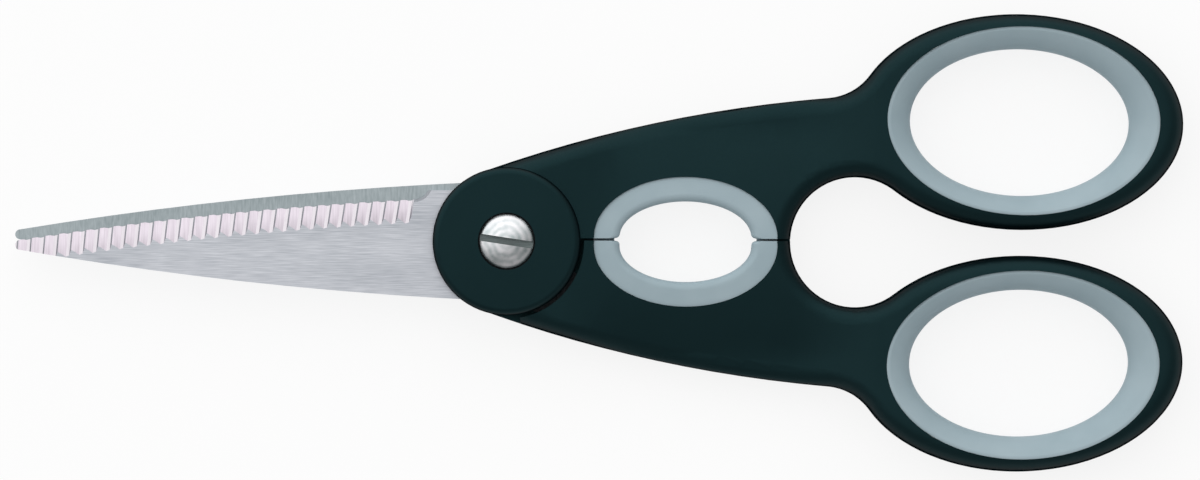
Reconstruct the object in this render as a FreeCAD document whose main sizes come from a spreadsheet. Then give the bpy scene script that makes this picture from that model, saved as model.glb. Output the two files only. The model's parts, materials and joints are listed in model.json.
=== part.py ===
import FreeCAD, Part
import math
import os
import re

import Sketcher

# Kitchen shears, closed and lying flat. Millimetres, degrees.
# The origin is on the pivot axis at table level, +X points to the finger loops,
# +Y across the handles and +Z up.
# Each half is drawn in a frame of its own, with the pivot axis on Z and the plane
# where the two blades meet at height zero. The front half stands above that plane.
# The rear half is drawn the same way and then turned over about X.

DRIVING_SIZES = [
    ("seam_gap", 0.4, "gap between the closed handles"),
    ("seam_lap", 0.15, "each half reaches past the middle of the seam below the other"),
    ("corner_play", 0.1, "clearance of the lip where the seam meets the boss"),
    ("corner_lap", 1.0, "how far this lip runs into the arm"),

    ("blade_thickness", 2.0, "sheet thickness of each blade"),
    ("blade_gap", 0.06, "clearance between the two blades"),
    ("blade_reach", 84.2, "pivot axis to blade tip"),
    ("tip_radius", 0.85, "rounding of the blade tip"),
    ("edge_radius", 640.0, "curve of the cutting edge"),
    ("ricasso_length", 3.25, "boss rim to the heel of the cutting edge"),
    ("edge_heel_height", 7.1, "heel of the cutting edge above the pivot axis"),
    ("edge_heel_slope", 3.0, "slope of the cutting edge at its heel, degrees"),
    ("runout_radius", 2.9, "scoop where the ground edge runs out"),
    ("ricasso_height", 8.67, "unground shoulder of the blade above the pivot axis"),
    ("spine_radius", 650.0, "curve of the blade's back"),
    ("spine_tip_slope", 9.6, "slope of the blade's back at the tip, degrees"),
    ("spine_heel_angle", 111.0, "where the back meets the heel round the pivot, degrees"),
    ("hollow_depth", 0.12, "hollow grind of the inner face"),
    ("hollow_land", 0.9, "flat left along the cutting edge"),
    ("hollow_end_inset", 0.35, "boss rim to the end of the hollow grind at the back"),
    ("hollow_end_lean", 3.5, "the end of the hollow grind leans this far to the edge"),
    ("bevel_width", 3.0, "ground bevel, edge to foot"),
    ("bevel_edge", 0.12, "blade thickness left at the edge"),
    ("runout_bevel", 0.5, "narrow bevel along the front blade's run-out"),
    ("runout_turn", 80.0, "how far the bevel follows the run-out, degrees"),
    ("flute_pitch", 2.35, "flute spacing along the cutting edge"),
    ("flute_overlap", 0.02, "flutes run into their neighbours by this much"),
    ("flute_reach", 4.05, "edge to flute foot"),
    ("flute_bite", 0.1, "flute floor below the inner face at the edge"),
    ("flute_floor", 0.64, "place within the pitch where the flute is deepest"),
    ("flute_wall", 0.89, "place within the pitch where the flute's steep wall begins"),
    ("flute_rise", 0.12, "share of its depth that the flute's floor rises to the steep wall"),
    ("flute_skew", 11.7, "lean of the flutes from square to the edge, degrees"),
    ("tang_cover", 2.8, "plastic between tang and arm edge"),
    ("tang_reach", 42.0, "pivot axis to the end of the tang's upper edge"),
    ("tang_end_width", 5.0, "width of the tang at its end"),
    ("tang_root_angle", 22.0, "where the tang leaves the heel, degrees"),
    ("tang_grip_wall", 3.0, "plastic between the grip recess and the tang"),
    ("lock_hole_diameter", 2.4, "holes in the tang that the plastic fills"),
    ("lock_hole_inset", 3.5, "outer lock hole back from the end of the tang"),
    ("lock_hole_root", 7.85, "boss rim to the inner lock hole"),

    ("disc_radius", 12.65, "pivot boss"),
    ("rim_round", 1.2, "rounding of the boss rim"),
    ("boss_dome", 0.3, "dome of the front boss"),
    ("heel_cover", 1.8, "plastic round the heel of the blade"),
    ("lap_relief", 0.25, "plastic set back from the meeting plane"),
    ("shoulder_gap", 0.6, "clearance round the other half's boss"),
    ("shoulder_end_angle", 80.0, "where the shoulder stops, degrees above the seam"),

    ("arm_step", 1.4, "arm faces below the boss faces"),
    ("arm_rake", 19.8, "slope of the arm's edge where it leaves the boss, degrees"),
    ("arm_root_inset", 0.05, "arm edge starts this far inside the boss"),
    ("arm_edge_radius", 230.0, "curve of the arm's outer edge"),
    ("neck_round", 10.0, "curve from arm to loop"),
    ("neck_length", 11.07, "end of the seam to the near end of the loop"),
    ("rise_delay", 1.5, "end of the seam to where the arm begins to thicken"),
    ("rise_length", 22.0, "from there to the loop's full thickness"),
    ("edge_round", 3.0, "rounding of the outer edges"),
    ("loop_clearance", 2.21, "middle of the seam to the loop's inner side"),
    ("loop_half_length", 28.03, "loop outline, half its length"),
    ("loop_half_width", 18.45, "loop outline, half its width"),
    ("loop_tilt", 1.2, "loop axis leans to the seam, degrees"),

    ("rim_far", 4.05, "black rim at the far end"),
    ("rim_near", 5.39, "black rim at the neck"),
    ("rim_outside", 2.11, "black rim along the outside"),
    ("rim_inside", 2.53, "black rim along the inside"),
    ("bond_gap", 0.02, "parting between the two mouldings"),
    ("liner_recess", 0.35, "lining below the loop's face"),
    ("liner_lip", 0.5, "thickness of the lining at its rim"),
    ("liner_far", 5.11, "lining at the far end"),
    ("liner_near", 3.97, "lining at the neck"),
    ("liner_outside", 3.83, "lining along the outside"),
    ("liner_inside", 3.29, "lining along the inside"),
    ("liner_belly", 3.0, "power of the lining's section curve"),

    ("grip_start_wall", 2.25, "plastic between boss and grip recess"),
    ("grip_end_wall", 2.2, "plastic between grip recess and round gap"),
    ("grip_half_length", 15.7, "recess for the grip pad, half its length"),
    ("grip_half_width", 10.4, "recess for the grip pad, half its width"),
    ("grip_lift", 0.7, "centre of the pad's ellipses above the seam"),
    ("pad_end_wall", 4.4, "grip pad at its ends"),
    ("pad_side_wall", 4.2, "grip pad at its side"),
    ("pad_recess", 0.3, "pad faces below the arm faces"),
    ("pad_round", 1.4, "rounding of the pad's inner edges"),

    ("head_diameter", 9.2, "screw head"),
    ("head_edge", 2.2, "straight side of the screw head"),
    ("head_crown", 0.95, "dome of the screw head"),
    ("head_gap", 0.3, "clearance round the screw head"),
    ("slot_width", 1.2, "driver slot"),
    ("slot_depth", 1.4, "driver slot below the crown"),
    ("slot_turn", 8.5, "driver slot turned from the long axis, degrees"),
    ("shank_step", 0.5, "plain shoulder that the blades turn on, proud of the thread"),
    ("bore_gap", 0.04, "running clearance round the shoulder"),
    ("thread_diameter", 5.0, "threaded end"),
    ("thread_gap", 0.05, "clearance in the nut"),
    ("thread_chamfer", 0.6, "bevel of the threaded end"),
    ("thread_end_recess", 0.2, "threaded end inside the nut"),
    ("washer_inset", 0.1, "spring washer inside the edge of the screw head"),
    ("washer_bore_gap", 0.1, "spring washer round the shoulder"),
    ("washer_thickness", 0.35, "spring washer sheet"),
    ("washer_dish", 0.12, "spring washer dish"),
    ("washer_play", 0.03, "clearance above and below the spring washer"),
    ("nut_flats", 8.0, "nut across flats"),
    ("nut_height", 2.7, "thin nut"),
    ("nut_gap", 0.05, "clearance in the hexagon pocket"),
    ("nut_sink", 0.77, "nut below the face of the boss"),
    ("nut_bevel_angle", 30.0, "bevel of the nut's corners, degrees"),
]

# Sizes that follow from the driving ones. Each may use those before it.
DERIVED_SIZES = [
    ("half_height", "blade_gap / 2 + blade_thickness + nut_height + nut_sink"),
    ("shank_diameter", "thread_diameter + 2 * shank_step"),
    ("washer_diameter", "head_diameter - 2 * washer_inset"),
    ("edge_heel_reach", "disc_radius + ricasso_length"),
    ("hollow_end_reach", "disc_radius + hollow_end_inset"),
    ("flute_count", "ceil((blade_reach - edge_heel_reach) / flute_pitch)"),
    ("grip_reach", "disc_radius + grip_start_wall + grip_half_length"),
    ("seam_end", "grip_reach + grip_half_length + grip_end_wall"),
    ("rise_start", "seam_end + rise_delay"),
    ("rise_end", "rise_start + rise_length"),
    ("loop_reach", "seam_end + neck_length + loop_half_length"),
    ("loop_offset", "loop_clearance + loop_half_width"),
]

# Cutting shapes run this far past the solid that they cut.
CUT_MARGIN = "2"
LINER_LEVELS = (-1.0, -0.75, -0.4, 0.0, 0.4, 0.75, 1.0)

doc = FreeCAD.newDocument("KitchenShears")
sheet = doc.addObject("Spreadsheet::Sheet", "Sizes")
for row, (alias, number, note) in enumerate(DRIVING_SIZES, start=1):
    sheet.set(f"A{row}", alias)
    sheet.set(f"B{row}", str(number))
    sheet.set(f"C{row}", note)
    sheet.setAlias(f"B{row}", alias)
doc.recompute()

ALIASES = re.compile(r"\b(" + "|".join(entry[0] for entry in DRIVING_SIZES) + r")\b")


def formula(text):
    """Turn a formula in plain size names into an expression on the sheet."""
    for name, meaning in reversed(DERIVED_SIZES):
        text = re.sub(rf"\b{name}\b", f"({meaning})", text)
    return ALIASES.sub(r"Sizes.\1", text)


def value(text):
    """Work out a formula now, for the first shape of a curve."""
    return float(sheet.evalExpression(formula(text)))


def bind(item, prop, text):
    item.setExpression(prop, formula(text))


def new_body(label, turned_over=False):
    """Body at the meeting height, turned over about X if it belongs to the rear half."""
    body = doc.addObject("PartDesign::Body", label.title().replace("_", ""))
    body.Label = label
    rotation = FreeCAD.Rotation(FreeCAD.Vector(1, 0, 0), 180.0 if turned_over else 0.0)
    body.Placement = FreeCAD.Placement(FreeCAD.Vector(0, 0, value("half_height")), rotation)
    bind(body, "Placement.Base.z", "half_height")
    return body


def new_sketch(body, name, role="XY_Plane", place=("0", "0", "0"), turn=((0, 0, 1), "0")):
    """Sketch on one of the body's origin planes, moved and turned by formulas."""
    sketch = body.newObject("Sketcher::SketchObject", name)
    plane = next(item for item in body.Origin.OriginFeatures if item.Role == role)
    sketch.AttachmentSupport = (plane, [""])
    sketch.MapMode = "FlatFace"
    axis, angle = turn
    offset = FreeCAD.Vector(*[value(text) for text in place])
    rotation = FreeCAD.Rotation(FreeCAD.Vector(*axis), value(angle))
    sketch.AttachmentOffset = FreeCAD.Placement(offset, rotation)
    for letter, text in zip("xyz", place):
        if text != "0":
            bind(sketch, f"AttachmentOffset.Base.{letter}", text)
    if angle != "0":
        bind(sketch, "AttachmentOffset.Rotation.Angle", angle)
    return sketch


def join(sketch, kind, *ends):
    sketch.addConstraint(Sketcher.Constraint(kind, *ends))


def measure(sketch, text, *details):
    """Add one constraint whose number follows a formula."""
    number = math.radians(value(text)) if details[0] == "Angle" else value(text)
    index = sketch.addConstraint(Sketcher.Constraint(*details, number))
    bind(sketch, f"Constraints[{index}]", text)


def pin(sketch, curve, spot, point):
    """Hold one point of a curve at two formulas, measured from the sketch's origin."""
    measure(sketch, point[0], "DistanceX", -1, 1, curve, spot)
    measure(sketch, point[1], "DistanceY", -1, 1, curve, spot)


def at(point):
    return FreeCAD.Vector(value(point[0]), value(point[1]), 0)


def arc_about(center, start, end):
    """Arc turning anticlockwise about a centre."""
    first = math.atan2(start.y - center.y, start.x - center.x)
    last = math.atan2(end.y - center.y, end.x - center.x)
    circle = Part.Circle(center, FreeCAD.Vector(0, 0, 1), (start - center).Length)
    return Part.ArcOfCircle(circle, first, last)


def arc_between(start, end, radius):
    """Arc turning anticlockwise from start to end, less than half a circle."""
    half = (end - start) / 2
    across = FreeCAD.Vector(-half.y, half.x, 0).normalize()
    rise = math.sqrt(radius ** 2 - half.Length ** 2)
    return arc_about(start + half + across * rise, start, end)


def radius_through(start, middle, end):
    """Radius of the arc through three points."""

    def step(first, last, axis):
        return f"(({last[axis]}) - ({first[axis]}))"

    def span(first, last):
        return f"sqrt({step(first, last, 0)} ^ 2 + {step(first, last, 1)} ^ 2)"

    twice_area = (f"abs({step(start, middle, 0)} * {step(start, end, 1)}"
                  f" - {step(start, middle, 1)} * {step(start, end, 0)})")
    sides = f"{span(start, middle)} * {span(middle, end)} * {span(start, end)}"
    return f"{sides} / (2 * {twice_area})"


def draw_outline(sketch, corners, bows=None):
    """Closed outline through the corners. A side that is an arc has an entry in bows,
    under its first corner's number: the radius, and whether it turns anticlockwise."""
    bows = bows or {}
    sides = []
    for index, corner in enumerate(corners):
        start = at(corner)
        end = at(corners[(index + 1) % len(corners)])
        radius, anticlockwise = bows.get(index, (None, True))
        if radius is None:
            curve = Part.LineSegment(start, end)
        elif anticlockwise:
            curve = arc_between(start, end, value(radius))
        else:
            curve = arc_between(end, start, value(radius))
        first, last = (1, 2) if anticlockwise else (2, 1)
        sides.append((sketch.addGeometry(curve, False), first, last))
    for index, (curve, first, last) in enumerate(sides):
        follower, follower_first, _ = sides[(index + 1) % len(sides)]
        join(sketch, "Coincident", curve, last, follower, follower_first)
        pin(sketch, curve, first, corners[index])
        if index in bows:
            measure(sketch, bows[index][0], "Radius", curve)


def draw_circle(sketch, center, radius):
    circle = Part.Circle(at(center), FreeCAD.Vector(0, 0, 1), value(radius))
    curve = sketch.addGeometry(circle, False)
    pin(sketch, curve, 3, center)
    measure(sketch, radius, "Radius", curve)


def hold_ellipse(sketch, curve, center, half_length, half_width):
    """Fix an ellipse, or an arc of one, by its centre and half axes. Gives its long axis."""
    long_axis = sketch.GeometryCount
    sketch.exposeInternalGeometry(curve)
    pin(sketch, curve, 3, center)
    measure(sketch, f"2 * ({half_length})", "Distance", long_axis)
    measure(sketch, f"2 * ({half_width})", "Distance", long_axis + 1)
    return long_axis


def draw_ellipse(sketch, center, half_length, half_width):
    """Ellipse with its long axis along the sketch's X."""
    shape = Part.Ellipse(at(center), value(half_length), value(half_width))
    curve = sketch.addGeometry(shape, False)
    long_axis = hold_ellipse(sketch, curve, center, half_length, half_width)
    join(sketch, "Horizontal", long_axis)


def add_pad(body, sketch, name, length, downwards=False, symmetric=False):
    pad = body.newObject("PartDesign::Pad", name)
    pad.Profile = sketch
    pad.SideType = "Symmetric" if symmetric else "One side"
    pad.Reversed = downwards
    bind(pad, "Length", length)
    doc.recompute()
    return pad


def check_cut(before, feature):
    if not feature.Shape.Volume < before:
        raise RuntimeError(f"{feature.Name} cuts nothing")


def add_pocket(body, sketch, name, length, upwards=False, symmetric=False):
    """Cut a sketch into the body: down by default, upwards, or both ways."""
    before = body.Shape.Volume
    pocket = body.newObject("PartDesign::Pocket", name)
    pocket.Profile = sketch
    pocket.SideType = "Symmetric" if symmetric else "One side"
    pocket.Reversed = upwards
    bind(pocket, "Length", length)
    doc.recompute()
    check_cut(before, pocket)
    return pocket


def add_revolution(body, sketch, name):
    """Turn a sketch once round its own upright axis."""
    turned = body.newObject("PartDesign::Revolution", name)
    turned.Profile = sketch
    turned.ReferenceAxis = (sketch, ["V_Axis"])
    turned.Angle = 360.0
    doc.recompute()
    return turned


def add_groove(body, sketch, name, angle):
    """Cut a sketch round its own upright axis, anticlockwise seen from above."""
    before = body.Shape.Volume
    groove = body.newObject("PartDesign::Groove", name)
    groove.Profile = sketch
    groove.ReferenceAxis = (sketch, ["V_Axis"])
    bind(groove, "Angle", angle)
    doc.recompute()
    check_cut(before, groove)
    return groove


def add_fillet(body, name, base, edges, radius):
    fillet = body.newObject("PartDesign::Fillet", name)
    fillet.Base = (base, edges)
    bind(fillet, "Radius", radius)
    doc.recompute()
    return fillet


def is_upright(face):
    low_u, high_u, low_v, high_v = face.ParameterRange
    return abs(face.normalAt((low_u + high_u) / 2, (low_v + high_v) / 2).z) < 1e-6


def rims_of_curved_walls(shape):
    """Edges where an upright curved wall meets a face above or below it."""
    names = []
    for number, edge in enumerate(shape.Edges, start=1):
        faces = shape.ancestorsOfType(edge, Part.Face)
        walls = [face for face in faces if is_upright(face)]
        if len(faces) == 2 and len(walls) == 1:
            if walls[0].Surface.TypeId != "Part::GeomPlane":
                names.append(f"Edge{number}")
    return names


# Sizes and places that more than one piece takes.
ARM_HALF = "(half_height - arm_step)"
BLADE_FLOOR = "(blade_gap / 2)"
BLADE_FACE = "(blade_gap / 2 + blade_thickness)"
HEEL_RADIUS = "(disc_radius - heel_cover)"
BORE_RADIUS = "(shank_diameter / 2 + bore_gap)"
ARM_ROOT = (
    "((disc_radius - arm_root_inset) * cos(90 + arm_rake))",
    "((disc_radius - arm_root_inset) * sin(90 + arm_rake))",
)
ARM_CENTER = (
    f"({ARM_ROOT[0]} + arm_edge_radius * sin(arm_rake))",
    f"({ARM_ROOT[1]} - arm_edge_radius * cos(arm_rake))",
)
EDGE_HEEL = ("-edge_heel_reach", "edge_heel_height")
EDGE_CENTER = (
    "(edge_radius * sin(edge_heel_slope) - edge_heel_reach)",
    "(edge_heel_height - edge_radius * cos(edge_heel_slope))",
)
RUNOUT_CENTER = (
    "(-edge_heel_reach - runout_radius * sin(edge_heel_slope))",
    "(edge_heel_height + runout_radius * cos(edge_heel_slope))",
)
TANG_RADIUS = "(arm_edge_radius - tang_cover)"


def on_tang(reach, depth):
    """Point of the tang, a given depth inside its upper edge, at a reach from the pivot."""
    turn = f"asin(({reach} - {ARM_CENTER[0]}) / {TANG_RADIUS})"
    return (
        f"{ARM_CENTER[0]} + ({TANG_RADIUS} - {depth}) * sin({turn})",
        f"{ARM_CENTER[1]} + ({TANG_RADIUS} - {depth}) * cos({turn})",
    )


def draw_blade(sketch):
    """Blade with its tang and lock holes, seen from its outer face: edge up, tip left.
    The handle takes its slot and the pegs in it from the same drawing."""
    tip_x = "(tip_radius - blade_reach)"
    tip_y = (f"({EDGE_CENTER[1]} + sqrt((edge_radius - tip_radius) ^ 2"
             f" - ({tip_x} - {EDGE_CENTER[0]}) ^ 2))")
    lean = f"asin(({tip_x} - {EDGE_CENTER[0]}) / (edge_radius - tip_radius))"
    edge_tip = (f"{tip_x} + tip_radius * sin({lean})", f"{tip_y} + tip_radius * cos({lean})")
    spine_tip = (
        f"{tip_x} - tip_radius * sin(spine_tip_slope)",
        f"{tip_y} - tip_radius * cos(spine_tip_slope)",
    )
    spine_heel = (
        f"{HEEL_RADIUS} * cos(spine_heel_angle)",
        f"-{HEEL_RADIUS} * sin(spine_heel_angle)",
    )
    tang_root = (f"{HEEL_RADIUS} * cos(tang_root_angle)", f"{HEEL_RADIUS} * sin(tang_root_angle)")
    ricasso_start = (
        f"{ARM_CENTER[0]} - sqrt({TANG_RADIUS} ^ 2 - (ricasso_height - {ARM_CENTER[1]}) ^ 2)",
        "ricasso_height",
    )
    scoop_rise = f"({RUNOUT_CENTER[1]} - ricasso_height)"
    scoop_end = (
        f"{RUNOUT_CENTER[0]} + sqrt(runout_radius ^ 2 - {scoop_rise} ^ 2)",
        "ricasso_height",
    )
    tang_bottom = on_tang("tang_reach", "tang_end_width")
    over_grip = ("grip_reach", "grip_lift + grip_half_width + tang_grip_wall")
    corners = [
        EDGE_HEEL, edge_tip, spine_tip, spine_heel, tang_root,
        tang_bottom, on_tang("tang_reach", "0"), ricasso_start, scoop_end,
    ]
    bows = {
        0: ("edge_radius", True),
        1: ("tip_radius", True),
        2: ("spine_radius", True),
        3: (HEEL_RADIUS, True),
        4: (radius_through(tang_root, over_grip, tang_bottom), False),
        5: ("tang_end_width / sqrt(3)", True),
        6: (TANG_RADIUS, True),
        8: ("runout_radius", False),
    }
    draw_outline(sketch, corners, bows)
    for reach in ("(tang_reach - lock_hole_inset)", "(disc_radius + lock_hole_root)"):
        draw_circle(sketch, on_tang(reach, "tang_end_width / 2"), "lock_hole_diameter / 2")


def grind_hollow(body):
    """Shallow hollow on the inner face, which leaves a flat along the cutting edge."""
    sketch = new_sketch(body, "HollowGrind", place=("0", "0", BLADE_FLOOR))
    flat_radius = "(edge_radius - hollow_land)"
    end_x = "(-hollow_end_reach - hollow_end_lean)"
    tip_x = f"(-blade_reach - {CUT_MARGIN})"
    below = f"(-disc_radius - {CUT_MARGIN})"

    def on_flat(x):
        rise = f"sqrt({flat_radius} ^ 2 - ({x} - {EDGE_CENTER[0]}) ^ 2)"
        return (x, f"{EDGE_CENTER[1]} + {rise}")

    corners = [on_flat(end_x), on_flat(tip_x), (tip_x, below), ("-hollow_end_reach", below)]
    draw_outline(sketch, corners, {0: (flat_radius, True)})
    add_pocket(body, sketch, "HollowGrindCut", "hollow_depth", upwards=True)


def draw_bevel(sketch, edge, inward, width):
    """Wedge above a ground bevel. It starts at the distance of the edge from the sketch's
    upright axis and goes inward, to one side or the other, until it reaches the face."""
    steepness = f"((blade_thickness - bevel_edge) / {width})"
    outer = f"({edge}) - ({inward}) * ({CUT_MARGIN}) / 2"
    top = f"{BLADE_FACE} + {CUT_MARGIN}"
    corners = [
        (f"({edge}) + ({inward}) * ({width} + {CUT_MARGIN} / {steepness})", top),
        (outer, top),
        (outer, f"{BLADE_FLOOR} + bevel_edge - {steepness} * {CUT_MARGIN} / 2"),
    ]
    draw_outline(sketch, corners)


def grind_runout(body, width):
    """Bevel that follows the scoop at the heel of the cutting edge."""
    place = (RUNOUT_CENTER[1], "0", RUNOUT_CENTER[0])
    sketch = new_sketch(body, "RunoutBevel", "YZ_Plane", place, ((0, 1, 0), "edge_heel_slope"))
    draw_bevel(sketch, "-runout_radius", "-1", width)
    add_groove(body, sketch, "RunoutBevelCut", "runout_turn")


def grind_plain_bevel(body):
    """Cone about the centre of the edge's curve, from the heel past the tip."""
    place = (EDGE_CENTER[1], "0", EDGE_CENTER[0])
    sketch = new_sketch(body, "EdgeBevel", "YZ_Plane", place, ((0, 1, 0), "edge_heel_slope"))
    draw_bevel(sketch, "edge_radius", "-1", "bevel_width")
    sweep = f"(blade_reach - edge_heel_reach + {CUT_MARGIN}) / edge_radius * 180 / pi"
    add_groove(body, sketch, "EdgeBevelCut", sweep)


def grind_flutes(body):
    """Flutes across the edge, each with a gentle side, a narrow floor and a steep wall. One is
    lofted between two sections that lie along the edge, outside it and past its foot, and is
    then repeated from heel to tip."""

    def section(name, depth):
        ridge = f"({BLADE_FLOOR} + bevel_edge" \
                f" + ({depth}) * (blade_thickness - bevel_edge) / bevel_width)"
        floor = f"({BLADE_FLOOR} - flute_bite" \
                f" + ({depth}) * (blade_thickness + flute_bite) / flute_reach)"
        top = f"({BLADE_FACE} + 2 * ({CUT_MARGIN}))"
        drift = f"(({depth}) * tan(flute_skew))"
        place = (
            f"{EDGE_HEEL[0]} + ({depth}) * sin(edge_heel_slope) - {drift} * cos(edge_heel_slope)",
            "0",
            f"({depth}) * cos(edge_heel_slope) + {drift} * sin(edge_heel_slope) - {EDGE_HEEL[1]}",
        )
        sketch = new_sketch(body, name, "XZ_Plane", place, ((0, 1, 0), "edge_heel_slope"))
        left = "(-flute_pitch - flute_overlap)"
        corners = [
            (left, ridge),
            ("(flute_floor - 1) * flute_pitch", floor),
            ("(flute_wall - 1) * flute_pitch", f"{floor} + flute_rise * ({ridge} - {floor})"),
            ("flute_overlap", ridge),
            ("3 * flute_overlap", top),
            (f"{left} - 2 * flute_overlap", top),
        ]
        draw_outline(sketch, corners)
        return sketch

    before = body.Shape.Volume
    flute = body.newObject("PartDesign::SubtractiveLoft", "Flute")
    flute.Profile = section("FluteOutside", f"-({CUT_MARGIN}) / 2")
    flute.Sections = [section("FlutePastFoot", f"flute_reach + ({CUT_MARGIN}) / 2")]
    flute.Ruled = True
    doc.recompute()
    check_cut(before, flute)
    place = (EDGE_CENTER[1], "0", EDGE_CENTER[0])
    axis = new_sketch(body, "EdgeAxis", "YZ_Plane", place)
    row = body.newObject("PartDesign::PolarPattern", "FluteRow")
    row.Originals = [flute]
    row.Axis = (axis, ["V_Axis"])
    row.Mode = "Spacing"
    bind(row, "Offset", "flute_pitch / edge_radius * 180 / pi")
    bind(row, "Occurrences", "flute_count")
    body.Tip = row
    doc.recompute()
    check_cut(flute.Shape.Volume, row)


def make_blade(label, turned_over, fluted):
    body = new_body(label, turned_over)
    sketch = new_sketch(body, "BladeOutline", place=("0", "0", BLADE_FLOOR))
    draw_blade(sketch)
    add_pad(body, sketch, "BladePlate", "blade_thickness")
    sketch = new_sketch(body, "PivotBore", place=("0", "0", BLADE_FLOOR))
    draw_circle(sketch, ("0", "0"), BORE_RADIUS)
    add_pocket(body, sketch, "PivotBoreCut", "blade_thickness", upwards=True)
    grind_hollow(body)
    if fluted:
        grind_runout(body, "runout_bevel")
        grind_flutes(body)
    else:
        grind_plain_bevel(body)
        grind_runout(body, "bevel_width")
    return body


def draw_handle(sketch):
    """Outline of boss root, arm, neck and loop, above the seam. The neck runs smoothly into
    arm and loop, and so does the round gap at the end of the seam, whose centre is on the
    seam line."""
    center = ("loop_reach", "loop_offset")
    tilt = math.radians(-value("loop_tilt"))
    half_length, half_width = value("loop_half_length"), value("loop_half_width")
    loop_at = at(center)
    along = FreeCAD.Vector(math.cos(tilt), math.sin(tilt), 0)
    across = FreeCAD.Vector(-along.y, along.x, 0)

    # First places of the three smooth joints, as angles round the loop.
    neck_angle, gap_angle = math.radians(154.0), math.radians(220.0)
    neck_end = (loop_at + along * (half_length * math.cos(neck_angle))
                + across * (half_width * math.sin(neck_angle)))
    gap_start = (loop_at + along * (half_length * math.cos(gap_angle))
                 + across * (half_width * math.sin(gap_angle)))
    arm_at = at(ARM_CENTER)
    arm_radius = value("arm_edge_radius")
    neck_x = neck_end.x - 0.72 * value("neck_round")
    neck_start = FreeCAD.Vector(
        neck_x, arm_at.y + math.sqrt(arm_radius ** 2 - (neck_x - arm_at.x) ** 2), 0)
    outward = (neck_start - arm_at).normalize()
    neck_center = neck_start + outward * value("neck_round")
    seam_start = ("0", "seam_gap / 2")
    seam_end = ("seam_end", "seam_gap / 2")
    gap_radius = (gap_start.y ** 2 + (gap_start.x - value("seam_end")) ** 2) \
        / (2 * (gap_start.x - value("seam_end")))
    gap_center = FreeCAD.Vector(value("seam_end") + gap_radius, 0, 0)

    ellipse = Part.Ellipse(loop_at + along * half_length, loop_at + across * half_width, loop_at)
    arm = sketch.addGeometry(arc_about(arm_at, neck_start, at(ARM_ROOT)), False)
    neck = sketch.addGeometry(arc_about(neck_center, neck_start, neck_end), False)
    turn = 2 * math.pi
    loop = sketch.addGeometry(Part.ArcOfEllipse(ellipse, gap_angle, neck_angle + turn), False)
    gap = sketch.addGeometry(arc_about(gap_center, gap_start, at(seam_end)), False)
    seam = sketch.addGeometry(Part.LineSegment(at(seam_end), at(seam_start)), False)
    root = sketch.addGeometry(Part.LineSegment(at(seam_start), at(ARM_ROOT)), False)

    join(sketch, "Tangent", arm, 1, neck, 1)
    join(sketch, "Tangent", neck, 2, loop, 2)
    join(sketch, "Tangent", loop, 1, gap, 1)
    join(sketch, "Coincident", gap, 2, seam, 1)
    join(sketch, "Coincident", seam, 2, root, 1)
    join(sketch, "Coincident", root, 2, arm, 2)
    pin(sketch, arm, 2, ARM_ROOT)
    pin(sketch, arm, 3, ARM_CENTER)
    measure(sketch, "neck_round", "Radius", neck)
    long_axis = hold_ellipse(sketch, loop, center, "loop_half_length", "loop_half_width")
    measure(sketch, "-loop_tilt", "Angle", -1, 1, long_axis, 1)
    measure(sketch, "0", "DistanceY", -1, 1, gap, 3)
    pin(sketch, seam, 1, seam_end)
    pin(sketch, seam, 2, seam_start)


def trim_faces(body):
    """Both faces of the handle, seen from the side: low along the arm, rising in a gentle
    double curve at the neck to the loop's thickness."""
    sketch = new_sketch(body, "SideProfile", "XZ_Plane")
    near = f"(-disc_radius - {CUT_MARGIN})"
    far = f"(loop_reach + loop_half_length + {CUT_MARGIN})"
    middle = "((rise_start + rise_end) / 2)"
    curve = "((((rise_end - rise_start) / 2) ^ 2 + (arm_step / 2) ^ 2) / arm_step)"
    for side in ("1", "-1"):
        above = side == "1"
        corners = [
            (near, f"{side} * {ARM_HALF}"),
            ("rise_start", f"{side} * {ARM_HALF}"),
            (middle, f"{side} * (half_height - arm_step / 2)"),
            ("rise_end", f"{side} * half_height"),
            (far, f"{side} * half_height"),
            (far, f"{side} * (half_height + {CUT_MARGIN})"),
            (near, f"{side} * (half_height + {CUT_MARGIN})"),
        ]
        draw_outline(sketch, corners, {1: (curve, above), 2: (curve, not above)})
    span = "4 * (loop_offset + loop_half_width)"
    return add_pocket(body, sketch, "SideProfileCut", span, symmetric=True)


SEAM_LEVEL = ("0", "0", "-lap_relief")
SEAM_ROOM = "(seam_gap + seam_lap)"


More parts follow.
